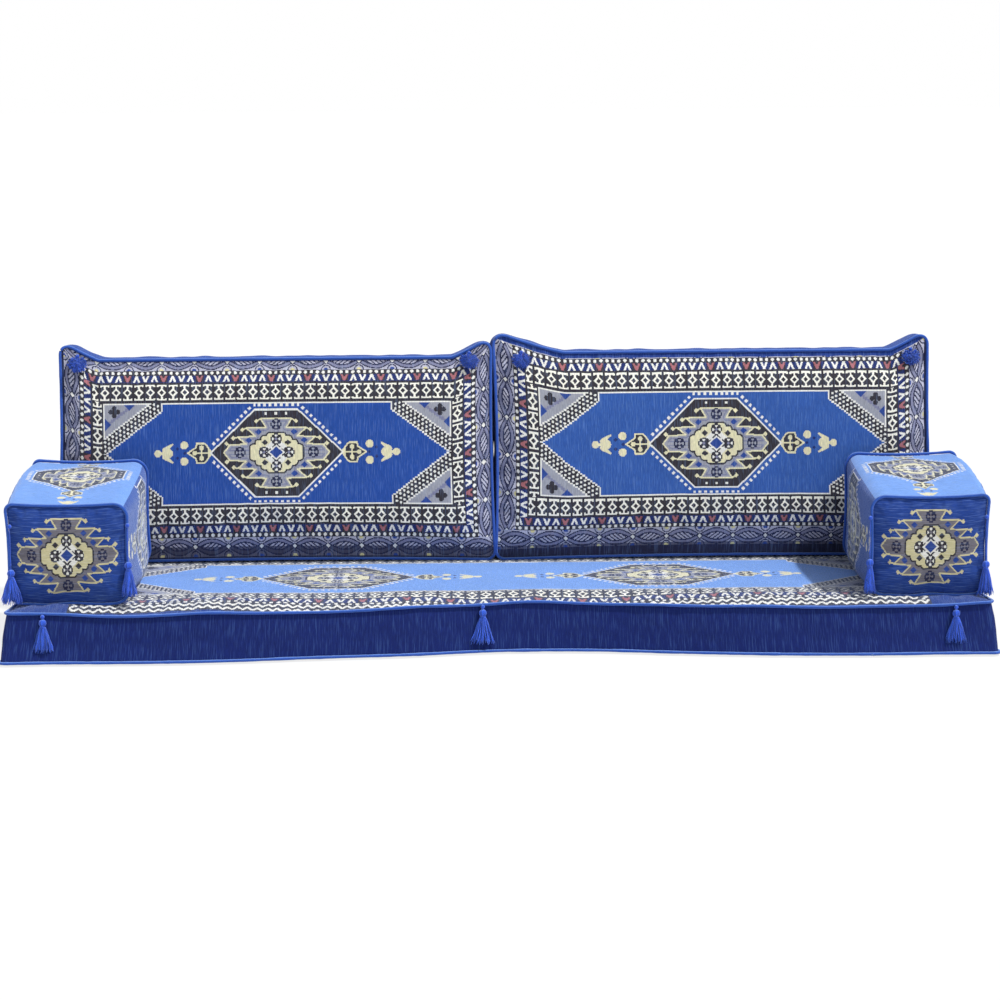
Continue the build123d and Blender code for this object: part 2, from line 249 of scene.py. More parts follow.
def pendants(canvas, a, b):
    """The trefoil, berries, gem and lily at each tip of a hexagon medallion."""
    p, q = np.abs(a), np.abs(b)
    edge = poly_distance(p, q, TREFOIL)
    paint(canvas, edge < 0.6, "cream")
    paint(canvas, (edge < -0.9) & (p > 68.0), "charcoal")
    horn = near_line(p, q, (111.4, 3.0), (103.6, 8.4)) < 0.9 + np.clip(p - 103.6, 0, 8) * 0.2
    for shape in (disc(p, q, 74.6, 5.0, 2.3), disc(p, q, 81.4, 0, 2.3), (q < 0.7) & (p > 64) & (p < 81),
                  (np.abs(p - 74.6) < 0.6) & (q < 5.0), disc(p, q, 91.8, 7.7, 3.9)):
        paint(canvas, shape, "cream")
    for x, y in ((91.2, 0), (98.6, 4.4)):
        paint(canvas, diamond(p, q, x, y, 1.9), "navy")
    for shape in (np.hypot((p - 108.0) / 4.9, q / 4.7) < 1, horn, disc(p, q, 118.2, 0, 3.5),
                  (q < 1.3) & (p > 112) & (p < 117)):
        paint(canvas, shape, "cream")


def field(canvas, a, b, half_a, half_b, ground):
    """The plain field with its white line and a stepped spandrel in each corner."""
    p, q = np.abs(a), np.abs(b)
    inside = (p < half_a) & (q < half_b)
    x, y = half_a - p, half_b - q
    paint(canvas, inside, "white")
    paint(canvas, (p < half_a - 1.5) & (q < half_b - 1.5), ground)
    tread, riser = np.floor(x / 2.4) * 2.4, np.floor(y / 1.75) * 1.75
    slope = tread * 0.729 + riser
    outer = inside & (x < 59.0) & (slope < 50.0)
    inner = inside & (x < 57.6) & (slope < 47.6)
    paint(canvas, outer, "white")
    paint(canvas, inner, "charcoal")
    fine = x * 0.729 + y
    along = x - y * 0.729
    for row in (38.6, 42.9, 47.2):
        shift = 2.9 if row == 42.9 else 0.0
        dots = np.hypot(fine - row, (along + shift) % 5.8 - 2.9) < 1.5
        paint(canvas, inner & dots & (x < 56.0), "white")
    paint(canvas, inside & (slope < 34.4), "white")
    grey = inside & (slope < 32.2) & (x > 1.5) & (y > 1.5)
    paint(canvas, grey, "grey")
    paint(canvas, grey & (np.abs(slope - 22.0) < 2.0), "lilac")
    blossom(canvas, x - 11.0, y - 8.6, 5.6, "charcoal", grey)
    paint(canvas, grey & (diamond(x, y, 26.0, 0, 7.4) | diamond(x, y, 0, 20.6, 7.4)), "blue")


def letter_band(canvas, s, t, mask):
    """White chevrons that point in and out by turns, every fourth one red, on navy."""
    paint(canvas, mask, "navy")
    pitch = 8.95
    step = np.floor(s / pitch).astype(int)
    x = s - (step + 0.5) * pitch
    y = np.where(step % 2 == 0, t, -t)
    arm = np.abs(np.abs(x) - (2.65 - (y + 3.1) * 0.42)) < 1.05
    shape = mask & arm & (np.abs(t) < 3.1)
    red = step % 4 == 3
    paint(canvas, shape, "white")
    paint(canvas, mask & red & (np.abs(x) < 4.0) & (np.abs(t) < 3.3), "charcoal")
    paint(canvas, shape & red, "red")
    paint(canvas, mask & red & (np.abs(x) < 0.8) & (np.abs(y) < 1.2), "red")


def gem_motif(x, y):
    """A diamond ring between two serifed bars. x within 5.6, y within 8."""
    p, q = np.abs(x), np.abs(y)
    ring = np.abs(p + q - 3.5) < 1.1
    stem = (p < 0.95) & (q > 3.9) & (q < 6.6)
    bar = (np.abs(q - 7.0) < 0.8) & (p < 4.6)
    serif = (np.abs(p - 3.9) < 0.8) & (q > 5.3) & (q < 7.2)
    return ring | stem | bar | serif


def dark_band(motif, name):
    """Paints a motif in one colour along a charcoal band."""
    def painter(canvas, s, t, mask):
        paint(canvas, mask, "charcoal")
        paint(canvas, mask & motif(s, t), name)
    return painter


gem_level = dark_band(lambda s, t: gem_motif(wrap(s, 11.35), t), "bone")
gem_upright = dark_band(lambda s, t: gem_motif(t, wrap(s, 17.8)), "bone")
dot_row = dark_band(lambda s, t: np.hypot(wrap(s, 5.8), t) < 1.6, "white")
zigzag_band = dark_band(lambda s, t: np.abs(t - np.abs(wrap(s, 8.0)) * 1.1 + 2.2) < 1.7, "white")


def interlace_band(canvas, s, t, mask):
    """Hatched ovals held between crossing ribbons, with small stars between them."""
    paint(canvas, mask, "pale")
    pitch = 32.6
    x = wrap(s, pitch)
    turn = np.floor((s + pitch / 2) / pitch).astype(int)
    wave = 6.2 * np.cos(np.pi * x / pitch)
    for sign in (1, -1):
        off = np.abs(t - sign * (wave - 0.6))
        paint(canvas, mask & (off < 1.9), "lilac")
        paint(canvas, mask & (np.abs(off - 1.9) < 0.62), "ink")
    slant = x * np.where(turn % 2 == 0, 1.0, -1.0) - t * 1.35
    heart = mask & (np.abs(t) < wave - 2.6)
    paint(canvas, heart, "pale")
    paint(canvas, heart & (np.abs(wrap(slant, 4.6)) < 0.95), "ink")
    paint(canvas, mask & (np.abs(np.abs(t) - wave + 2.6) < 0.55) & (np.abs(x) < 13), "ink")
    knot = np.abs(np.abs(x) - pitch / 2)
    side = np.floor(s / pitch).astype(int) % 2
    for size, name in ((3.4, "ink"), (2.2, "white")):
        paint(canvas, mask & (knot + np.abs(t) < size), name)
    for sign in (1, -1):
        for size, turns, name in ((5.0, (0, 1), "ink"), (3.9, (0, 1), "pale"), (2.2, (0,), "straw"),
                                  (2.2, (1,), "blue")):
            paint(canvas, mask & disc(knot, t, 0, sign * 8.6, size) & np.isin(side, turns), name)


def framed(canvas, a, b, rows, half_a, half_b):
    """Border bands from the field outwards: (width above, width beside, their two painters)."""
    high = side = 0.0
    p, q = np.abs(a), np.abs(b)
    for tall, wide, level_painter, upright_painter in rows:
        low_a, low_b = half_a + side, half_b + high
        high_a, high_b = low_a + wide, low_b + tall
        level = (q >= low_b) & (q < high_b) & (p < high_a)
        upright = (p >= low_a) & (p < high_a) & (q < low_b)
        level_painter(canvas, a, (q - (low_b + high_b) / 2) * np.sign(b), level)
        upright_painter(canvas, b, (p - (low_a + high_a) / 2) * np.sign(a), upright)
        high, side = high + tall, side + wide


def plain_row(name):
    def painter(canvas, s, t, mask):
        paint(canvas, mask, name)
    return painter


def border_rows(outer):
    """The bands of every border, from the field outwards, and how wide the last one is."""
    dark = plain_row("charcoal")
    return (
        (1.4, 0.8, dark, dark),
        (17.2, 10.8, gem_level, gem_upright),
        (1.2, 1.2, dark, dark),
        (7.2, 6.8, letter_band, letter_band),
        (4.6, 4.6, dot_row, dot_row),
        (outer, 16.4, interlace_band, interlace_band),
    )


def back_pattern(u, v, shift, rise, wide, low, high):
    """Palette numbers of a back cushion's panel. u and v are in millimetres from its middle,
    shift and rise place the field, and wide, low and high stretch the weave."""
    a = (u - shift) / (2.2 * wide)
    b = (v - rise) / (2.24 * np.where(v < rise, low, high))
    half_field = 172.0, 49.4
    edge = plain_row("ink")
    canvas = blank(a.shape, "plain")
    framed(canvas, a, b, border_rows(17.0) + ((9.0, 2.5, edge, edge),), *half_field)
    field(canvas, a, b, *half_field, "field")
    pendants(canvas, a, b)
    hexagon_medallion(canvas, a, b)
    return canvas


def seat_pattern(u, v):
    """The mattress's top: one long field with two medallions, centred in front of the backs."""
    a, b = u / 2.52, (v + 70.0) / 2.49
    half_field = 310.0, 57.6
    canvas = blank(a.shape, "hem")
    dark = (1.4, 1.4, plain_row("charcoal"), plain_row("charcoal"))
    chain = (6.0, 6.0, zigzag_band, zigzag_band)
    rows = border_rows(0.0)[:-1] + (chain, dark, chain, dark)
    framed(canvas, a, b, rows, *half_field)
    field(canvas, a, b, *half_field, "lit_field")
    side = np.abs(a) - 135.5
    pendants(canvas, side, b)
    hexagon_medallion(canvas, side, b)
    return canvas


def arm_front_pattern(u, v):
    canvas = blank(u.shape, "plain")
    serrated_medallion(canvas, u / 1.98, v / 2.3)
    # Painted shade: the medallion's grey, lilac and cream turn to darker tones, as the arm's front face is in
    # shade
    repaint(canvas, (("grey", "taupe_painted_shade"), ("lilac", "taupe_painted_shade"), ("cream", "sand_painted_shade")))
    return canvas


def arm_band_pattern(w, depth):
    """The boxing of an arm cushion: a hexagon medallion turned across each face."""
    canvas = blank(w.shape, "plain")
    for centre, half in ARM_FACES:
        mask = np.abs(w - centre) < half
        part = blank(w.shape, "lit_field" if centre == ARM_TOP else "field")
        a, b = (depth - ARM_DEPTH / 2 - 20.0) / 1.56, (w - centre) / 2.2
        hexagon_medallion(part, a, b)
        pendants(part, a, b)
        canvas[mask] = part[mask]
    return canvas


# Flat panels become grids of small cells, and each cell is one woven colour


def loop(width, height, cell):
    """Points about a cell apart round a rectangle, anticlockwise from the middle of its lower
    edge, which is their origin."""
    run = np.linspace(0, 2 * (width + height), round(2 * (width + height) / cell), endpoint=False)
    at = (run + width / 2) % (2 * (width + height))
    sides = [at < width, at < width + height, at < 2 * width + height]
    p = np.select(sides, [at - width / 2, width / 2, width / 2 - (at - width - height)], -width / 2)
    q = np.select(sides, [0.0, at - width, height], height - (at - 2 * width - height))
    return p, q, run


def outward(x, y):
    """The direction out of a closed line, for each of its points."""
    dx, dy = np.roll(x, -1) - np.roll(x, 1), np.roll(y, -1) - np.roll(y, 1)
    length = np.hypot(dx, dy) + 1e-9
    return dy / length, -dx / length


def square_to_round(p, q):
    """Moves a corner square's points, from 0 to 1, into a quarter disc."""
    return p * np.sqrt(1 - q * q / 2), q * np.sqrt(1 - p * p / 2)


def rounded(u, v, left, right, low, high, radii):
    """Rounds the corners of a rectangle of points. radii are for low left, low right, high
    right and high left."""
    u, v = u.copy(), v.copy()
    for sx, sy, radius in ((-1, -1, radii[0]), (1, -1, radii[1]), (1, 1, radii[2]), (-1, 1, radii[3])):
        cx = (right - radius) if sx > 0 else (left + radius)
        cy = (high - radius) if sy > 0 else (low + radius)
        p, q = (u - cx) * sx / radius, (v - cy) * sy / radius
        at = (p > 0) & (q > 0)
        x, y = square_to_round(np.clip(p, 0, 1), np.clip(q, 0, 1))
        u = np.where(at, cx + sx * x * radius, u)
        v = np.where(at, cy + sy * y * radius, v)
    return u, v


def dome(distance, reach):
    """Rises from 0 at a seam to 1 at its reach."""
    return 1 - (1 - np.clip(distance / reach, 0, 1)) ** 3


def ripple(u, v, scale, seed, octaves=3):
    """Smooth noise between about -1 and 1, the same at each run."""
    source = np.random.default_rng(seed)
    total = np.zeros(np.broadcast(u, v).shape)
    for octave in range(octaves):
        size = scale / 2 ** octave
        for _ in range(5):
            angle = source.uniform(0, 2 * math.pi)
            phase = source.uniform(0, 2 * math.pi)
            k = 2 * math.pi / (size * source.uniform(0.8, 1.5))
            wave = np.sin((u * math.cos(angle) + v * math.sin(angle)) * k + phase)
            total += wave / 5 / 1.6 ** octave
    return total


def puckers(p, q, across, along, depth, scale, seed):
    """Small folds that run in from a seam and fade out."""
    near = np.minimum(across, along)
    fade = np.exp(-near / depth) * np.clip(near / 6.0, 0, 1)
    return ripple(np.where(across < along, q, p), near * 0.3, scale, seed) * fade


def corners_of(grid):
    """The values at the four corners of each cell of a grid, in the order of its quad."""
    return np.stack([grid[:-1, :-1], grid[:-1, 1:], grid[1:, 1:], grid[1:, :-1]], axis=2)


def stacked(*parts):
    """One grid of vectors from their parts, which may be single numbers."""
    return np.stack(np.broadcast_arrays(*parts), axis=-1)


def unit(vectors):
    return vectors / (np.linalg.norm(vectors, axis=1)[:, None] + 1e-12)


def middles_of(grid):
    """The flat coordinates of the middle of each cell."""
    centre = (grid[:-1, :-1] + grid[1:, 1:]) / 2
    return centre[..., 0], centre[..., 1]


def joined(flat):
    """Flat coordinates of a grid that closes on itself, with one more column."""
    flat = np.concatenate([flat, flat[:, :1]], axis=1)
    flat[:, -1, 0] = flat[:, -2, 0] + flat[:, 1, 0] - flat[:, 0, 0]
    return flat


def grid_mesh(name, points, flat, colours=None, closed=False):
    """A quad grid from points[row, column] in millimetres, with flat cloth coordinates."""
    rows, columns = points.shape[:2]
    index = np.arange(rows * columns).reshape(rows, columns)
    if closed:
        index = np.concatenate([index, index[:, :1]], axis=1)
    quads = corners_of(index).reshape(-1, 4)
    mesh = bpy.data.meshes.new(name)
    mesh.vertices.add(rows * columns)
    mesh.vertices.foreach_set("co", (points.reshape(-1, 3) * MM).astype(np.float32).ravel())
    mesh.loops.add(quads.size)
    mesh.loops.foreach_set("vertex_index", quads.ravel().astype(np.int32))
    mesh.polygons.add(len(quads))
    mesh.polygons.foreach_set("loop_start", np.arange(0, quads.size, 4, dtype=np.int32))
    mesh.polygons.foreach_set("loop_total", np.full(len(quads), 4, np.int32))
    mesh.update(calc_edges=True)
    mesh.polygons.foreach_set("use_smooth", np.ones(len(quads), bool))
    own = mesh.attributes.new("cloth", "FLOAT_VECTOR", "CORNER")
    if closed:
        flat = joined(flat)
    cloth = np.zeros(flat.shape[:2] + (3,), np.float32)
    cloth[..., :2] = flat[..., :2]
    own.data.foreach_set("vector", corners_of(cloth).ravel())
    uv = mesh.uv_layers.new(name="OFBake")
    x, y = np.meshgrid(*(np.linspace(0.002, 0.998, n) for n in flat.shape[1::-1]))
    uv.uv.foreach_set("vector", corners_of(stacked(x, y).astype(np.float32)).ravel())
    if colours is not None:
        table = np.array([linear(COLOURS[n]) for n in NAMES])
        rgba = np.ones((len(quads), 4), np.float32)
        rgba[:, :3] = table[colours.reshape(-1)]
        shade = mesh.attributes.new("weave", "FLOAT_COLOR", "FACE")
        shade.data.foreach_set("color", rgba.ravel())
    return mesh


def added(name, data):
    obj = bpy.data.objects.new(name, data)
    bpy.context.scene.collection.objects.link(obj)
    return obj


def piece(mesh, material, body, slot, *nodes):
    obj = added(mesh.name, mesh)
    mesh.materials.append(material)
    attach(obj, body)
    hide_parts(*nodes)
    return obj


# Materials


class Tree:
    """The nodes of a material or of the world, with short calls for those that several share."""

    def __init__(self, owner):
        owner.use_nodes = True
        self.owner, self.tree = owner, owner.node_tree

    def fill(self, node, inputs):
        """Links other nodes' outputs to a node's sockets, or sets their values."""
        for key, value in inputs.items():
            socket = node.inputs[key]
            if isinstance(value, bpy.types.NodeSocket):
                self.tree.links.new(value, socket)
            else:
                socket.default_value = (*value, 1.0) if socket.type == "RGBA" else value
        return node

    def node(self, kind, inputs=(), **settings):
        made = self.tree.nodes.new(kind)
        for key, value in settings.items():
            setattr(made, key, value)
        return self.fill(made, dict(inputs))

    def math(self, operation, first, second=0.0):
        return self.node("ShaderNodeMath", {0: first, 1: second}, operation=operation).outputs[0]

    def sum(self, *parts, start=0.0):
        """The sum of some values, each times its weight."""
        for value, weight in parts:
            start = self.math("ADD", self.math("MULTIPLY", value, weight), start)
        return start

    def attribute(self, name, output):
        return self.node("ShaderNodeAttribute", attribute_name=name).outputs[output]

    def split(self, vector):
        return tuple(self.node("ShaderNodeSeparateXYZ", {0: vector}).outputs)

    def noise(self, vector, scale, detail, rough=0.5):
        """Noise whose scale is one number, or one along each axis."""
        if isinstance(scale, tuple):
            vector = self.node("ShaderNodeVectorMath", {0: vector, 1: scale}, operation="MULTIPLY").outputs[0]
            scale = 1.0
        made = {"Vector": vector, "Scale": scale, "Detail": detail, "Roughness": rough}
        return self.node("ShaderNodeTexNoise", made).outputs["Fac"]

    def ramp(self, factor, *stops):
        """A ramp through stops, each a place from 0 to 1 and a grey or a colour."""
        made = self.node("ShaderNodeValToRGB", {"Fac": factor})
        points = made.color_ramp.elements
        while len(points) < len(stops):
            points.new(0.5)
        for point, (place, value) in zip(points, stops):
            point.position = place
            point.color = (*value, 1.0) if isinstance(value, tuple) else (value, value, value, 1.0)
        return made.outputs["Color"]

    def mix(self, kind, factor, first, second):
        made = {"Factor": factor, 6: first, 7: second}
        return self.node("ShaderNodeMix", made, data_type="RGBA", blend_type=kind).outputs[2]

    def bump(self, height, distance, strength):
        made = {"Height": height, "Distance": distance, "Strength": strength}
        return self.node("ShaderNodeBump", made).outputs["Normal"]

    def finish(self, colour, rough, normal, sheen, **more):
        """Fills in the surface of a cloth or of metal, and hands back the material."""
        self.fill(self.tree.nodes["Principled BSDF"], {
            "Base Color": colour, "Roughness": rough, "Normal": normal, "Specular IOR Level": 0.25,
            "Sheen Weight": sheen, "Sheen Roughness": 0.45, "Sheen Tint": (0.6, 0.7, 1.0), **more})
        return self.owner

    def seen_rays(self):
        """1 for rays that come straight or by gloss or glass from the camera, else 0."""
        path = self.node("ShaderNodeLightPath").outputs
        shiny = self.math("MAXIMUM", path["Is Glossy Ray"], path["Is Transmission Ray"])
        return self.math("MAXIMUM", path["Is Camera Ray"], shiny)

    def show(self, factor, first, second, output):
        """Mixes two shaders into the tree's output."""
        both = self.node("ShaderNodeMixShader", {0: factor, 1: first.outputs[0], 2: second.outputs[0]})
        self.fill(self.tree.nodes[output], {"Surface": both.outputs[0]})


def shades(colour, low, high, middle=0.5, lift=0.0):
    """The ramp stops of a darker, a plain and a lighter tone of a colour."""
    tint = linear(colour)
    return zip((0.0, middle, 1.0), map(tuple, (tint * low, tint, np.clip(tint * high + lift, 0, 1))))


def woven(name, colour, along, slub, sheen=0.25, light=(0.35, 0.55, 1.0), painted_shade=1.0):
    """Coarse woven cloth: yarns that cross, slubs along one of them, and a little wear.
    With no colour it takes each cell's own from the mesh. Its last argument, below 1, darkens the whole cloth
    as painted shade."""
    t = Tree(bpy.data.materials.new(name))
    flat = t.attribute("cloth", "Vector")
    u, v, _ = t.split(flat)

    def drawn_out(across, ahead, detail, rough=0.5):
        """Noise that is stretched along the slubs."""
        return t.noise(flat, (across, ahead, 1.0) if along == "v" else (ahead, across, 1.0), detail, rough)

    warp, weft = (t.math("SINE", t.math("MULTIPLY", w, 2 * math.pi / YARN_PITCH)) for w in (u, v))
    cross = t.math("MULTIPLY", warp, weft)
    fine = drawn_out(1.6, 0.09, 1.0)
    fuzz = t.noise(flat, 0.9, 2.0, 0.7)
    base = t.attribute("weave", "Color") if colour is None else tuple(linear(colour))
    slubs = t.ramp(drawn_out(0.55, 0.022, 2.0, 0.6), (0.0, 0.0), (0.52, 0.0), (0.66, 1.0), (1.0, 1.0))
    # Painted shade: the last argument scales this whole ramp down, darkening the cloth
    dark = t.ramp(fine, (0.0, 0.74 * painted_shade), (0.42, 0.92 * painted_shade), (0.6, painted_shade), (1.0, 1.12 * painted_shade))
    grains = t.ramp(drawn_out(0.42, 0.07, 2.0, 0.7),
                    (0.0, 0.6), (0.4, 0.84), (0.55, 1.0), (0.75, 1.25), (1.0, 1.4))
    shade = t.mix("MULTIPLY", 0.75, t.mix("MULTIPLY", 1.0, base, dark), grains)
    slubbed = t.mix("SCREEN", t.math("MULTIPLY", slubs, 0.30 * slub), shade, light)
    worn = t.ramp(t.noise(flat, (0.012, 0.012, 1.0), 2.0), (0.0, 0.88), (0.5, 1.0), (1.0, 1.10))
    speck = t.ramp(fuzz, (0.0, 0.8), (0.5, 1.0), (1.0, 1.14))
    toned = t.mix("MULTIPLY", 1.0, t.mix("MULTIPLY", 1.0, slubbed, worn), speck)
    height = t.sum((cross, 0.5), (fine, 1.4), (fuzz, 0.8))
    return t.finish(toned, t.sum((fuzz, 0.2), start=0.78), t.bump(height, 0.0006, 0.8), sheen)


def corded(name, colour, ribs, twist, crown, *tones):
    """Cloth-covered piping or a twisted cord: slanting ribs round the tube, with a painted highlight on its
    upper side.
    """
    t = Tree(bpy.data.materials.new(name))
    flat = t.attribute("cloth", "Vector")
    u, v, _ = t.split(flat)
    rib = t.math("SINE", t.sum((u, 2 * math.pi / ribs), (v, twist)))
    fuzz = t.noise(flat, 0.8, 3.0, 0.7)
    base = t.ramp(t.sum((rib, 0.25), (fuzz, 1.0)), *shades(colour, 0.62, 1.45, lift=0.02))
    toned = t.mix("MULTIPLY", 1.0, base, t.ramp(t.noise(flat, (0.02, 0.05, 1.0), 2.0), *tones))
    # Painted highlight: where the surface faces up, the colour mixes towards the lighter crown colour, as if
    # lit from above
    _, _, climb = t.split(t.node("ShaderNodeNewGeometry").outputs["Normal"])
    painted_highlight = t.ramp(climb, (0.0, 0.0), (0.55, 0.0), (1.0, 0.6))
    toned = t.mix("MIX", painted_highlight, toned, tuple(linear(crown)))
    normal = t.bump(t.sum((rib, 0.5), (fuzz, 0.8)), 0.0007, 0.8)
    return t.finish(toned, t.sum((fuzz, 0.25), start=0.7), normal, 0.4)


def metal(name, colour):
    t = Tree(bpy.data.materials.new(name))
    place = t.node("ShaderNodeTexCoord").outputs["Object"]
    wear = t.noise(place, 900.0, 3.0, 0.6)
    base = t.ramp(t.noise(place, 160.0, 2.0), *shades(colour, 0.7, 1.2, 0.55))
    return t.finish(base, t.sum((wear, 0.3), start=0.28), t.bump(wear, 0.0001, 0.5), 0.0, Metallic=0.9)


def tape(name, colour):
    """Zip tape: a fine twill with the coil's teeth as ribs."""
    t = Tree(bpy.data.materials.new(name))
    place = t.node("ShaderNodeTexCoord").outputs["Object"]
    x, _, z = t.split(place)
    twill = t.math("SINE", t.sum((x, 4200.0), (z, 2600.0)))
    fuzz = t.noise(place, 700.0, 2.0, 0.6)
    base = t.ramp(t.sum((twill, 0.2), (fuzz, 1.0)), *shades(colour, 0.6, 1.5))
    return t.finish(base, t.sum((fuzz, 0.3), start=0.6), t.bump(t.math("ADD", twill, fuzz), 0.0002, 0.7), 0.2)


pattern_cloth = woven("kilim_cloth", None, "v", 0.42)
# The arms' fronts: darkened to 0.82 as painted shade for their shaded front faces
arm_cloth = woven("kilim_cloth_turned_painted_shade", None, "u", 0.45, sheen=0.1, painted_shade=0.82)
arm_band_cloth = woven("kilim_cloth_band", None, "u", 0.6, sheen=0.5)
top_cloth = woven("kilim_cloth_top", None, "v", 0.6, sheen=0.5)
# The seat's front: its dark navy is partly the cloth's own colour and partly painted shade for the shaded
# front face
front_cloth = woven("navy_slub_cloth_painted_shade", (8, 30, 98), "v", 0.35, sheen=0.04, light=(0.16, 0.34, 0.85))
side_cloth = woven("plain_blue_cloth", (30, 70, 156), "v", 0.4)
rear_cloth = woven("plain_back_cloth", (30, 62, 150), "v", 0.4)
# The fifth values are painted highlight colours for the upper sides of the piping and of the tassels' yarns
cord_cloth = corded("blue_piping_painted_highlight", (38, 80, 168), 2.6, 1.0, (130, 164, 226),
                    (0.0, 0.8), (0.5, 1.0), (1.0, 1.12))
yarn = corded("tassel_yarn", (44, 88, 206), 1.6, 1.4, (120, 160, 242), (0.3, 0.45), (0.5, 1.0), (0.7, 1.7))
zip_cloth = tape("zip_tape", (20, 34, 84))
brass = metal("dull_brass", (176, 142, 84))


# A coarse copy of each panel is held at its seams and swells under pressure, as simulated cloth


def resample(grid, rows, columns):
    """A smooth denser copy of a grid of vectors."""
    for axis, count in ((0, rows), (1, columns)):
        n = grid.shape[axis]
        at = np.linspace(0, n - 1, count)
        low = np.minimum(at.astype(int), n - 2)
        t = (at - low).reshape((-1, 1, 1) if axis == 0 else (1, -1, 1))

        def take(shift):
            return np.take(grid, np.clip(low + shift, 0, n - 1), axis=axis)

        a, b, c, d = take(-1), take(0), take(1), take(2)
        grid = b + 0.5 * t * (c - a + t * (2 * a - 5 * b + 4 * c - d + t * (3 * (b - c) + d - a)))
    return grid


def billow(points, away, pressure, slack, cap):
    """How far each point of a panel moves when its cushion is filled, at most cap. points is a
    grid in millimetres, away leads to a held copy behind it, and slack is the cloth's spare length."""
    rows, columns = points.shape[:2]
    count = rows * columns
    number = np.arange(count).reshape(rows, columns)
    panel = corners_of(number).reshape(-1, 4)
    rim = np.concatenate([number[0], number[1:, -1], number[-1, -2::-1], number[-2:0:-1, 0]])
    ahead = np.roll(rim, -1)
    faces = np.concatenate([panel, panel[:, ::-1] + count, stacked(ahead, rim, rim + count, ahead + count)])
    flat = points.reshape(-1, 3)
    mesh = bpy.data.meshes.new("billow")
    mesh.from_pydata((np.concatenate([flat, flat + np.array(away)]) * MM).tolist(), [], faces.tolist())
    obj = added("billow", mesh)
    held = obj.vertex_groups.new(name="held")
    held.add(rim.tolist() + list(range(count, 2 * count)), 1.0, "REPLACE")
    cloth = obj.modifiers.new("cloth", "CLOTH")
    kit = cloth.settings
    kit.quality, kit.mass, kit.air_damping = 6, 0.3, 2.0
    kit.tension_stiffness = kit.compression_stiffness = 12.0
    kit.shear_stiffness, kit.bending_stiffness = 6.0, 0.4
    kit.vertex_group_mass = "held"
    kit.effector_weights.gravity = 0.0
    kit.shrink_min = -slack
    kit.use_pressure, kit.uniform_pressure_force = True, pressure
    cloth.collision_settings.use_collision = False
    cloth.point_cache.frame_start, cloth.point_cache.frame_end = 1, CLOTH_FRAMES
    scene = bpy.context.scene
    for frame_number in range(1, CLOTH_FRAMES + 1):
        scene.frame_set(frame_number)
    seen = obj.evaluated_get(bpy.context.evaluated_depsgraph_get())
    out = np.empty(2 * count * 3, np.float32)
    seen.data.vertices.foreach_get("co", out)
    moved = out.reshape(-1, 3)[:count].astype(float) / MM - flat
    length = np.linalg.norm(moved, axis=1)[:, None] + 1e-9
    moved = moved * (cap * np.tanh(length / cap) / length)
    scene.frame_set(1)
    bpy.data.objects.remove(obj)
    bpy.data.meshes.remove(mesh)
    return moved.reshape(rows, columns, 3)


# Cushions


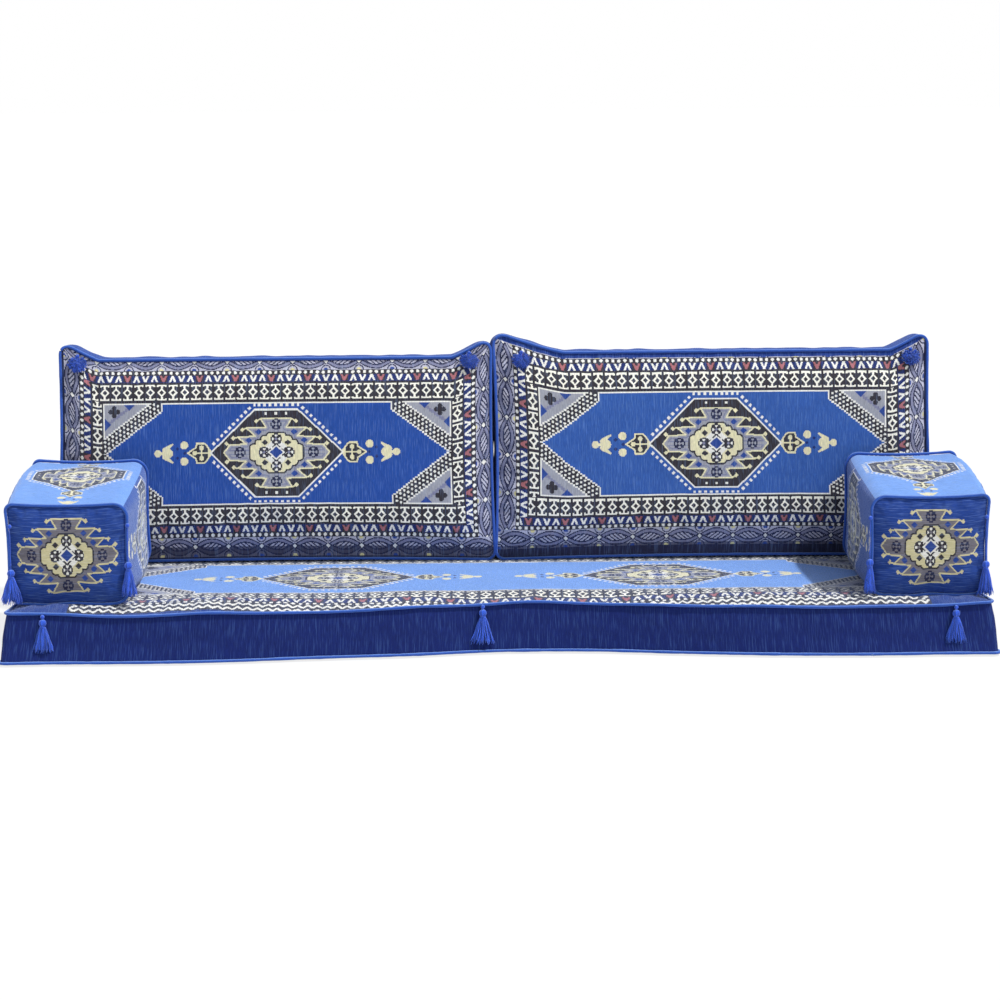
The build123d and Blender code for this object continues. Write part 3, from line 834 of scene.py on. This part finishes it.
class Cushion:
    """A box cushion: a front panel on a plane, a boxing behind it and a rear panel. side is -1 on
    the left and 1 on the right. What else it may have is listed here."""

    bow_low = bow_side = bow_high = 0.0    # how far the edges bow in
    swell = crown = reach = 0.0            # how far the boxing and the panel stand out
    ear, ear_more, ear_run = 0.0, 0.0, EAR_RUN    # the ears' rise, with more on the inner side
    spread, grow, wavy = 1.0, 0.0, 0.0     # how much wider and higher, and how its lower edge waves
    taper = close = lean_in = 0.0          # how its outer side draws in, its inner side reaches out
    tuck = droop = sink = 0.0              # how its lower edge draws back and hangs, its rear sinks
    dimples = ()                           # where a neighbour's zip pull presses in, as x and z

    def __init__(self, side, width, height, depth, origin, radii, lean=0.0, **more):
        self.side, self.half, self.height, self.depth = side, width / 2, height, depth
        self.origin, self.radii = np.array(origin), radii
        self.up = np.array((0.0, math.sin(lean), math.cos(lean)))
        self.out = np.array((0.0, -math.cos(lean), math.sin(lean)))
        for name, value in more.items():
            setattr(self, name, value)

    def outline(self, p, q):
        """From flat cloth coordinates to the panel's shape: drawn-in sides and ears."""
        s, t = p / self.half, 2 * q / self.height - 1
        u = p * self.spread - s * self.bow_side * (1 - t * t)
        outer = np.clip(s * self.side, 0, 1)
        u = u + self.side * (4.0 * (self.spread > 1) - self.taper * outer * q / self.height)
        inner = np.clip(-s * self.side, 0, 1)
        u = u - inner * (self.side * self.close + self.lean_in * (q / self.height) ** 2)
        low = self.bow_low * (1 - s * s) + self.wavy * np.sin(p / 17.0 + 1.0) * (1 - s * s)
        run = np.where(p * self.side < 0, self.ear_run, EAR_RUN)
        climb = np.clip((np.abs(p) - self.half + run) / run, 0, 1)
        ear = self.ear + np.where(p * self.side < 0, self.ear_more, 0.0)
        high = self.height + self.grow + ear * climb ** 1.2 - self.bow_high * (1 - s * s)
        return u, low + q * (high - low) / self.height

    def place(self, u, v, forward=0.0, behind=0.0):
        """Puts the panel's coordinates in space, some way forward of its plane and behind it."""
        share = behind / self.depth
        forward = forward - self.tuck * np.clip(1 - v / 50.0, 0, 1) ** 2 * (1 - share)
        v = v - self.droop * (1 - share) ** 2 * np.clip(1 - v / self.height, 0, 1) ** 2
        v = v * (1 - self.sink / self.height * share)
        at = self.origin + u[..., None] * np.array((1.0, 0, 0)) + v[..., None] * self.up
        return at + forward[..., None] * self.out + behind * np.array((0, 1.0, 0))

    def panel(self, cell, crown, behind=0.0, wrinkle=0.0, seed=1):
        columns = max(8, round(2 * self.half / cell)) + 1
        rows = max(8, round(self.height / cell)) + 1
        p, q = np.meshgrid(np.linspace(-self.half, self.half, columns), np.linspace(0, self.height, rows))
        p, q = rounded(p, q, -self.half, self.half, 0, self.height, self.radii)
        u, v = self.outline(p, q)
        across, along = self.half - np.abs(p), np.minimum(q, self.height - q)
        rise = crown * dome(across, self.reach) * dome(along, self.reach)
        small = puckers(p, q, across, along, 26.0, 38.0, seed)
        large = ripple(p, q, 240.0, seed + 5, 2) * dome(np.minimum(across, along), 90.0)
        points = self.place(u, v, rise + wrinkle * (small * 2.2 + large * 1.6), behind)
        if wrinkle and cell < self.weave_cell:
            coarse, _ = self.panel(self.weave_cell, crown, behind, wrinkle, seed)
            moved = billow(coarse, (0, 0.6 * self.depth, 0), 3.5, 0.012, 5.0)
            points = points + resample(moved, rows, columns)
            for x, z in self.dimples:
                away = (points[..., 0] - x) ** 2 + (points[..., 2] - z) ** 2
                points = points - DIMPLE * np.exp(-away / (2 * DIMPLE_REACH ** 2))[..., None] * self.out
        return points, stacked(p, q - self.height / 2)

    def ring(self, cell, grow):
        """Points about a cell apart round the seam, from the middle of its lower edge."""
        p, q, run = loop(2 * self.half, self.height, cell)
        p, q = rounded(p, q, -self.half, self.half, 0, self.height, self.radii)
        u, v = self.outline(p, q)
        du, dv = outward(u, v)
        return u + grow * du, v + grow * dv, run

    def boxing(self, cell):
        points, flat = [], []
        for d in np.linspace(self.depth, 0, round(self.depth / cell) + 1):
            bulge = math.sin(math.pi * d / self.depth)
            u, v, run = self.ring(cell, 0.0)
            gu, gv, _ = self.ring(cell, 1.0)
            lumps = ripple(run, d, 90.0, 3, 2) * BOX_LUMPS * bulge
            grow = self.swell * bulge ** 0.75 + np.where(v < 4.0, np.minimum(lumps, 0), lumps)
            points.append(self.place(u + (gu - u) * grow, v + (gv - v) * grow, behind=d))
            flat.append(stacked(run, d))
        return np.array(points), np.array(flat)

    def cord_line(self, front):
        u, v, _ = self.ring(CORD_CELL, CORD_OUT)
        return self.place(u, v, *((CORD_LEAD, 0.0) if front else (-CORD_LEAD, self.depth)))


def lengths_along(line):
    """How far along a line each of its points is."""
    return np.concatenate([[0], np.cumsum(np.linalg.norm(np.diff(line, axis=0), axis=1))])


def rings(line, ahead, side, width, turn):
    """Circles of points round a line, as a grid. ahead and side are unit vectors."""
    up = np.cross(side, ahead)
    return (line[:, None] + np.cos(turn)[None, :, None] * (side * width[:, None])[:, None]
            + np.sin(turn)[None, :, None] * (up * width[:, None])[:, None])


def add_cord(body, word, line):
    """A sewn cord, slightly uneven, along a closed line in millimetres."""
    ahead = unit(np.roll(line, -1, axis=0) - np.roll(line, 1, axis=0))
    side = np.cross(ahead, (0.31, 0.2, 0.93))
    bad = np.linalg.norm(side, axis=1) < 0.2
    side[bad] = np.cross(ahead[bad], (1.0, 0, 0))
    run = lengths_along(line)
    thick = CORD * (1 + CORD_UNEVEN * ripple(run, 0.0, 60.0, len(word), 3))
    turn = np.linspace(0, 2 * math.pi, CORD_SIDES, endpoint=False)
    points = rings(line, ahead, unit(side), thick, turn)
    flat = np.stack(np.meshgrid(run, turn, indexing="ij"), axis=-1)
    last = flat[-1:] + np.array((np.linalg.norm(line[0] - line[-1]), 0))
    points, flat = np.concatenate([points, points[:1]]), np.concatenate([flat, last])
    mesh = grid_mesh(f"{body}_{word}_cord", points, flat, closed=True)
    piece(mesh, cord_cloth, body, "piping_cord", f"{body}_{word}_piping")


def make_cushion(name, c, front_colours, box_colours, cloth, box_cloth, cell, slot):
    points, flat = c.panel(cell, c.crown, wrinkle=1.0, seed=len(name) + (7 if c.side > 0 else 0))
    mesh = grid_mesh(f"{name}_front_cloth", points, flat, front_colours(*middles_of(flat)))
    front = piece(mesh, cloth, name, "kilim_weave", f"{name}_front_panel", f"{name}_filling")
    points, flat = c.boxing(BAND_CELL if box_colours else PLAIN_BAND_CELL)
    colours = box_colours(*middles_of(joined(flat))) if box_colours else None
    mesh = grid_mesh(f"{name}_boxing_cloth", points, flat, colours, closed=True)
    piece(mesh, box_cloth, name, slot, f"{name}_boxing")
    points, flat = c.panel(REAR_CELL, 0.0, c.depth)
    mesh = grid_mesh(f"{name}_rear_cloth", points[:, ::-1], flat[:, ::-1])
    piece(mesh, rear_cloth, name, "plain_weave", f"{name}_rear_panel")
    for word in ("front", "rear"):
        add_cord(name, word, c.cord_line(word == "front"))


def back_cushion(side):
    left = side < 0
    pull = JOINT_OF["arm_left_zip_pull" if left else "arm_right_zip_pull"]["pos_m"]
    return Cushion(
        side, BACK_WIDTH, BACK_HEIGHT, BACK_DEPTH, (side * 483.93, 86.0, 120.17),
        (BACK_ROUND, BACK_ROUND, EAR_ROUND, EAR_ROUND), LEAN, bow_low=BACK_BOW, bow_side=BACK_BOW, ear=EAR,
        crown=BACK_CROWN, reach=BACK_REACH, swell=BACK_SWELL, sink=BACK_SINK, weave_cell=BACK_WIDTH / 62,
        taper=9.0, tuck=16.0, grow=2.0 if left else 10.0, close=4.5 if left else 10.0,
        lean_in=5.0 if left else 3.0, ear_run=EAR_RUN if left else 150.0, ear_more=0.0 if left else 5.0,
        dimples=((pull[0] / MM, pull[2] / MM),))


def arm_cushion(side):
    upper = (ARM_ROUND, ARM_INNER_ROUND) if side < 0 else (ARM_INNER_ROUND, ARM_ROUND)
    return Cushion(
        side, ARM_WIDTH, ARM_HEIGHT, ARM_DEPTH, (side * 873.93, -289.0, 122.3),
        (ARM_ROUND, ARM_ROUND, *upper), bow_side=ARM_BOW, bow_high=ARM_BOW, crown=ARM_CROWN,
        reach=ARM_REACH, swell=ARM_SWELL, sink=ARM_SINK, weave_cell=ARM_WIDTH / 22,
        spread=1.03 if side < 0 else 1.005, wavy=1.8, droop=6.0)


for word, side in (("left", -1), ("right", 1)):
    placing = (4.8, 15.0, 1.012, 1.045, 1.0) if side < 0 else (-2.0, 21.0, 1.006, 1.012, 1.028)
    hem = BACK_HEIGHT / 2 - (2.0 if side < 0 else 9.0)

    def panel(u, v):
        canvas = back_pattern(u, v, *placing)
        paint(canvas, v > hem, "hem")
        # Painted shade: along the lower edge the pale and the lilac turn darker, as if in the seat's shadow
        repaint(canvas, (("pale", "shade"), ("lilac", "deep")), v < 24.0 - BACK_HEIGHT / 2)
        if side > 0:
            repaint(canvas, (("field", "sunny_field"),))
        return canvas

    make_cushion(f"back_{word}", back_cushion(side), panel, None, pattern_cloth, side_cloth,
                 BACK_CELL, "plain_weave")
    make_cushion(f"arm_{word}", arm_cushion(side), arm_front_pattern, arm_band_pattern, arm_cloth,
                 arm_band_cloth, ARM_CELL, "kilim_weave")


# Seat mattress


FRONT_PLACES = (-1.1, -1, -0.93, -0.8, -0.675, -0.527, -0.394, -0.166, -0.043, 0.053, 0.206, 0.375,
                0.55, 0.736, 0.918, 1, 1.1)
FRONT_BOWS = (0, 0, 7, 0, -4, 0, 16, 32, 56, 60, 54, 24, 6, 0, 7, 0, 0)
WELT_PLACES = (-1, -0.94, -0.82, -0.67, -0.59, -0.39, -0.165, -0.04, 0.067, 0.245, 0.37, 0.57, 0.73,
               0.94, 1)
WELT_RISES = (7.0, 5.5, -1.0, 1.0, 6.0, -1.5, 4.5, 3.0, 7.5, 2.0, 4.0, 4.0, 1.8, 4.0, 9.0)


def eased(s, places, values, reach):
    """A table read smoothly."""
    return sum(np.interp(s + d * reach, places, values) for d in (-1, -0.5, 0, 0.5, 1)) / 5


def seat_shape(p, q, inset):
    """From flat coordinates on the mattress's rectangle to its bowed outline, drawn in by inset."""
    half, deep = SEAT_WIDTH / 2, SEAT_DEPTH / 2
    s, t = p / half, q / deep
    x = (p - s * SEAT_SIDE_BOW * (1 - t * t) - s * inset) * 1.011
    corner = np.abs(s) ** 30 * np.clip(-t, 0, 1) ** 12
    x = x + np.sign(s) * (8.0 + 6.0 * (SEAT_FLARE - inset) / SEAT_FLARE) * corner
    bow = eased(s, FRONT_PLACES, FRONT_BOWS, 0.06)
    y = -deep + inset + bow + (q + deep) * (SEAT_DEPTH - bow - inset) / SEAT_DEPTH
    return x, y


def seat_ring(cell, inset):
    """Points about a cell apart round the mattress, drawn in by inset."""
    half, deep = SEAT_WIDTH / 2, SEAT_DEPTH / 2
    p, q, run = loop(SEAT_WIDTH, SEAT_DEPTH, cell)
    p, q = rounded(p, q - deep, -half, half, -deep, deep, (SEAT_CORNER,) * 4)
    return *seat_shape(p, q, inset), run


def welt_wave(x, y):
    """How far the mattress's edge rises and falls along its front."""
    front = np.exp(-np.maximum(y + 270.0, 0) / 70.0)
    rise = eased(x / (SEAT_WIDTH / 2), WELT_PLACES, WELT_RISES, 0.035)
    return (rise + 0.7 * np.sin(x / 37.0)) * front


def seat_top(columns, rows):
    half, deep = SEAT_WIDTH / 2, SEAT_DEPTH / 2
    p, q = np.meshgrid(np.linspace(-half, half, columns), np.linspace(-deep, deep, rows))
    p, q = rounded(p, q, -half, half, -deep, deep, (SEAT_CORNER,) * 4)
    x, y = seat_shape(p, q, SEAT_FLARE)
    across, along = half - np.abs(p), deep - np.abs(q)
    z = SEAT_TOP + (SEAT_HEIGHT - SEAT_TOP) * dome(across, SEAT_REACH) * dome(along, SEAT_REACH)
    z = z + 1.3 * puckers(p, q, across, along, 30.0, 46.0, 11) + welt_wave(x, y)
    return stacked(x, y, z), stacked(x, y)


def foot_flare(x, y, level):
    """How far the front face spreads forward towards the floor, most at its corners."""
    low = np.clip(1 - level / SEAT_TOP, 0, 1) ** 4
    spread = 11.0 + 12.0 * np.clip(np.abs(x) / SEAT_WIDTH * 5.0 - 1.1, 0, 1)
    return spread * low * np.clip((-y - SEAT_DEPTH / 2 + 90.0) / 30.0, 0, 1)


def make_seat():
    columns, rows = round(SEAT_WIDTH / SEAT_CELL) + 1, round(SEAT_DEPTH / (SEAT_CELL * 1.25)) + 1
    points, flat = seat_top(columns, rows)
    moved = billow(seat_top(100, 36)[0], (0, 0, -60.0), 2.0, 0.006, 3.0)
    points = points + resample(moved, rows, columns)
    mesh = grid_mesh("seat_top_cloth", points, flat, seat_pattern(*middles_of(flat)))
    top = piece(mesh, top_cloth, "seat", "kilim_weave", "seat_top_panel", "seat_foam_core")
    layers, flats = [], []
    for level in np.linspace(SEAT_LOW, SEAT_TOP, SEAT_LAYERS):
        share = (SEAT_TOP - level) / (SEAT_TOP - SEAT_LOW)
        bulge = math.sin(math.pi * share)
        x, y, run = seat_ring(SEAT_BAND_CELL, SEAT_FLARE * (1 - share))
        lumps = SEAT_LUMPS * ripple(run, level * 2.0, 120.0, 21, 2) * bulge
        out_x, out_y = outward(x, y)
        grow = np.where(y > SEAT_DEPTH / 2 - 2.0, 0.0, 4.0 * bulge ** 0.8 + lumps)
        y = y - foot_flare(x, y, level)
        z = level + welt_wave(x, y) * (1 - share)
        layers.append(stacked(x + grow * out_x, y + grow * out_y, z))
        flats.append(stacked(run, -level))
    mesh = grid_mesh("seat_boxing_cloth", np.array(layers), np.array(flats), closed=True)
    piece(mesh, front_cloth, "seat", "plain_weave", "seat_boxing")
    x0, y0, run = seat_ring(SEAT_BAND_CELL, 0.0)
    y0 = y0 - foot_flare(x0, y0, SEAT_LOW)
    x1, y1, _ = seat_ring(SEAT_BAND_CELL, SEAT_FOOT)
    outlines = [(x0, y0, SEAT_LOW)]
    outlines += [(x1 * share, y1 * share, 0.0) for share in (1.0, 0.9, 0.6, 0.3, 0.02)]
    layers = [stacked(*outline) for outline in outlines[::-1]]
    flats = [stacked(run, 10.0 * i) for i in range(len(outlines))]
    mesh = grid_mesh("seat_base_cloth", np.array(layers), np.array(flats)[::-1], closed=True)
    piece(mesh, rear_cloth, "seat", "plain_weave", "seat_base_panel")
    for word, level, inset in (("top", SEAT_TOP, SEAT_FLARE), ("base", SEAT_LOW, 0.0)):
        x, y, _ = seat_ring(SEAT_CORD_CELL, inset)
        out_x, out_y = outward(x, y)
        z = level + (welt_wave(x, y) if word == "top" else 0.0)
        y = y - (foot_flare(x, y, level) if word == "base" else 0.0)
        add_cord("seat", word, stacked(x + CORD_OUT * out_x, y + CORD_OUT * out_y, z))


make_seat()


# Tassels


def strand_mesh(name, lines, sides=4):
    """Many thin open tubes in one mesh, each with its own part of the flat cloth."""
    verts, faces, flats = [], [], []
    turn = np.linspace(0, 2 * math.pi, sides, endpoint=False)
    start = 0
    for number, line in enumerate(lines):
        n = len(line)
        ahead = unit(np.gradient(line, axis=0))
        side = unit(np.cross(ahead, (0.9, 0.4, 0.1)))
        width = np.full(n, YARN)
        width[-1] *= 0.5
        verts.append(rings(line, ahead, side, width, turn).reshape(-1, 3))
        around, along = np.meshgrid(turn, lengths_along(line) + number * 13.7)
        flats.append(stacked(along, around, number * 0.73).reshape(-1, 3))
        for i in range(n - 1):
            for k in range(sides):
                a, b = start + i * sides + k, start + i * sides + (k + 1) % sides
                faces.append((a, b, b + sides, a + sides))
        start += n * sides
    mesh = bpy.data.meshes.new(name)
    mesh.from_pydata((np.concatenate(verts) * MM).tolist(), [], faces)
    mesh.polygons.foreach_set("use_smooth", np.ones(len(faces), bool))
    own = mesh.attributes.new("cloth", "FLOAT_VECTOR", "POINT")
    own.data.foreach_set("vector", np.concatenate(flats).astype(np.float32).ravel())
    return mesh


def ball(height, radii, turns):
    """Yarn wound round an ellipsoid, as the lines of its windings."""
    t = np.linspace(0, 2 * math.pi, 19)
    x, y, z = radii[0] * np.sin(t), radii[1] * np.sin(t), height + radii[2] * np.cos(t)
    return [stacked(x * math.cos(angle), y * math.sin(angle), z)
            for angle in np.linspace(0, math.pi, turns, endpoint=False)]


def tuft_lines(seed):
    """A short bushy tassel: curly yarns that burst from their knot and hang a little."""
    source = np.random.default_rng(seed)
    lines = ball(0, KNOT, 10)
    for _ in range(TUFT_YARNS):
        turn, climb = source.uniform(0, 2 * math.pi), source.uniform(-0.75, 1.0)
        flat = math.sqrt(1 - min(1.0, climb * climb))
        aim = np.array((flat * math.cos(turn) * 20.0, flat * math.sin(turn) * 10.0, -climb * 19.0))
        length, phase = source.uniform(0.75, 1.1), source.uniform(0, 6.28)
        line = []
        for share in np.linspace(0, 1, 8):
            curl = 2.6 * share * np.array((math.sin(share * 9 + phase), 0.6 * math.cos(share * 8 + phase),
                                           math.cos(share * 10 + phase)))
            hang = np.array((0, 0, -15.0 - 3.0 * share ** 2))
            line.append(aim * length * share ** 0.8 + curl + hang)
        lines.append(line)
    return lines


def tassel_lines(cord, skirt, seed, spread, flatness):
    """The yarns of a tassel that hangs from its knot at the origin."""
    source = np.random.default_rng(seed)
    lines = ball(0, KNOT, 14)
    top = -4.0 - cord
    for turn in range(2):
        phase = math.pi * turn
        steps = max(6, int(cord / 3))
        lines.append([(0.8 * math.cos(phase + z * 0.9), 0.8 * math.sin(phase + z * 0.9), z)
                      for z in np.linspace(-2.0, top, steps)])
    lines += ball(top - 6.5, (7.2, 6.2, 7.4), 30)
    neck = top - 13.0
    for turn in range(5):
        z = neck - 0.9 * turn
        lines.append([(4.6 * math.cos(a), 4.4 * math.sin(a), z - 0.14 * a)
                      for a in np.linspace(0, 2 * math.pi, 17)])
    low = neck - 4.0
    for i in range(TASSEL_YARNS):
        angle = 2 * math.pi * i / TASSEL_YARNS * 7.13
        out = math.sqrt(source.uniform(0.02, 1.0))
        length = skirt * source.uniform(0.86, 1.06)
        bend = source.uniform(-0.12, 0.12)
        line = []
        for share in np.linspace(0, 1, 9):
            flare = 3.8 + (spread - 3.8) * share ** 0.8
            wave = 1.9 * share * math.sin(share * 8 + i)
            x = out * flare * math.cos(angle) + bend * spread * share ** 2 + wave * 0.5
            y = out * (3.6 + (spread * flatness - 3.6) * share ** 0.8) * math.sin(angle) + wave * 0.3
            line.append((x, y, low + 5.0 - (length + 5.0) * share))
        lines.append(line)
    return lines


TASSELS = {    # the cord's and the skirt's length and the skirt's half width, in millimetres
    "seat_tassel_left": (2, 48, 21), "seat_tassel_middle": (2, 52, 24), "seat_tassel_right": (2, 48, 22),
    "arm_left_tassel_outer": (86, 52, 21), "arm_left_tassel_inner": (72, 52, 16),
    "arm_right_tassel_inner": (82, 52, 13), "arm_right_tassel_outer": (88, 52, 17),
    "back_left_tassel_outer": (5, 38, 20), "back_left_tassel_inner": (5, 38, 20),
    "back_right_tassel_inner": (5, 38, 19), "back_right_tassel_outer": (5, 38, 20),
}
for number, (name, (cord, skirt, spread)) in enumerate(TASSELS.items(), 40):
    joint = JOINT_OF[name]
    tilt = math.radians(STRAIGHT_OUT - joint["range_deg"][1])
    tuft = name.startswith("back")
    lines = tuft_lines(number) if tuft else tassel_lines(cord, skirt, number, spread, 0.42)
    place = np.array(joint["pos_m"]) / MM
    turn = np.array(Matrix.Rotation(-tilt, 3, "X"))
    lines = [np.asarray(line) @ turn.T + place for line in lines]
    piece(strand_mesh(f"{name}_yarn", lines), yarn, name, "tassel_yarn", name)


# Zips keep their solids and get finished materials

for name, obj in frame["nodes"].items():
    if obj.hide_render:
        continue
    material = zip_cloth if name.endswith("_zip") else brass
    obj.data.materials.clear()
    obj.data.materials.append(material)


# Stage, light and camera


def stage_material():
    t = Tree(bpy.data.materials.new("stage_white"))
    plain = t.fill(t.tree.nodes["Principled BSDF"],
                   {"Base Color": (0.8, 0.8, 0.8), "Roughness": 0.9, "Specular IOR Level": 0.0})
    glow = t.node("ShaderNodeEmission", {"Color": (1.0, 1.0, 1.0), "Strength": 1.0})
    t.show(t.math("MULTIPLY", t.seen_rays(), 0.8), plain, glow, "Material Output")
    return t.owner


floor = added("floor", bpy.data.meshes.new("floor"))
corners = [(x, y, -0.0005) for x, y in ((-40, -40), (40, -40), (40, 40), (-40, 40))]
floor.data.from_pydata(corners, [], [(0, 1, 2, 3)])
floor.data.materials.append(stage_material())

studio = Tree(bpy.data.worlds.new("studio"))
bpy.context.scene.world = studio.owner
dim = studio.fill(studio.tree.nodes["Background"], {"Color": (0.93, 0.96, 1.0), "Strength": 0.45})
white = studio.node("ShaderNodeBackground", {"Color": (1.0, 1.0, 1.0)})
studio.show(studio.seen_rays(), dim, white, "World Output")


def sun(name, direction, strength, angle):
    data = bpy.data.lights.new(name, "SUN")
    data.energy = strength
    data.angle = math.radians(angle)
    obj = added(name, data)
    obj.rotation_mode = "QUATERNION"
    obj.rotation_quaternion = Vector(direction).to_track_quat("-Z", "Y")


sun("key", (-0.5, 0.2, -1.0), 3.4, 3.0)
sun("front_fill", (-0.45, 1.0, -0.55), 0.6, 30.0)

# The camera that was fitted to the photo: its turn, place in metres and focal length in pixels
PITCH, YAW, ROLL = math.radians(10.533), math.radians(1.0036), math.radians(-0.3852)
EYE = (-0.0853, -0.3525 - 4.8568, 1.2344)
FOCAL, PHOTO_SIDE, SENSOR = 2463.86, 1000, 36.0
camera = added("camera", bpy.data.cameras.new("camera"))
bpy.context.scene.camera = camera
forward = Vector((math.sin(YAW) * math.cos(PITCH), math.cos(YAW) * math.cos(PITCH), -math.sin(PITCH)))
right = Vector((math.cos(YAW), -math.sin(YAW), 0.0))
above = right.cross(forward)
right_rolled = right * math.cos(ROLL) + above * math.sin(ROLL)
above_rolled = above * math.cos(ROLL) - right * math.sin(ROLL)
turned = Matrix((right_rolled, above_rolled, -forward)).transposed()
camera.matrix_world = Matrix.Translation(EYE) @ turned.to_4x4()
camera.data.sensor_width = SENSOR
camera.data.lens = FOCAL / PHOTO_SIDE * SENSOR
camera.data.clip_start, camera.data.clip_end = 0.1, 100.0

bpy.context.scene.view_settings.view_transform = "Standard"
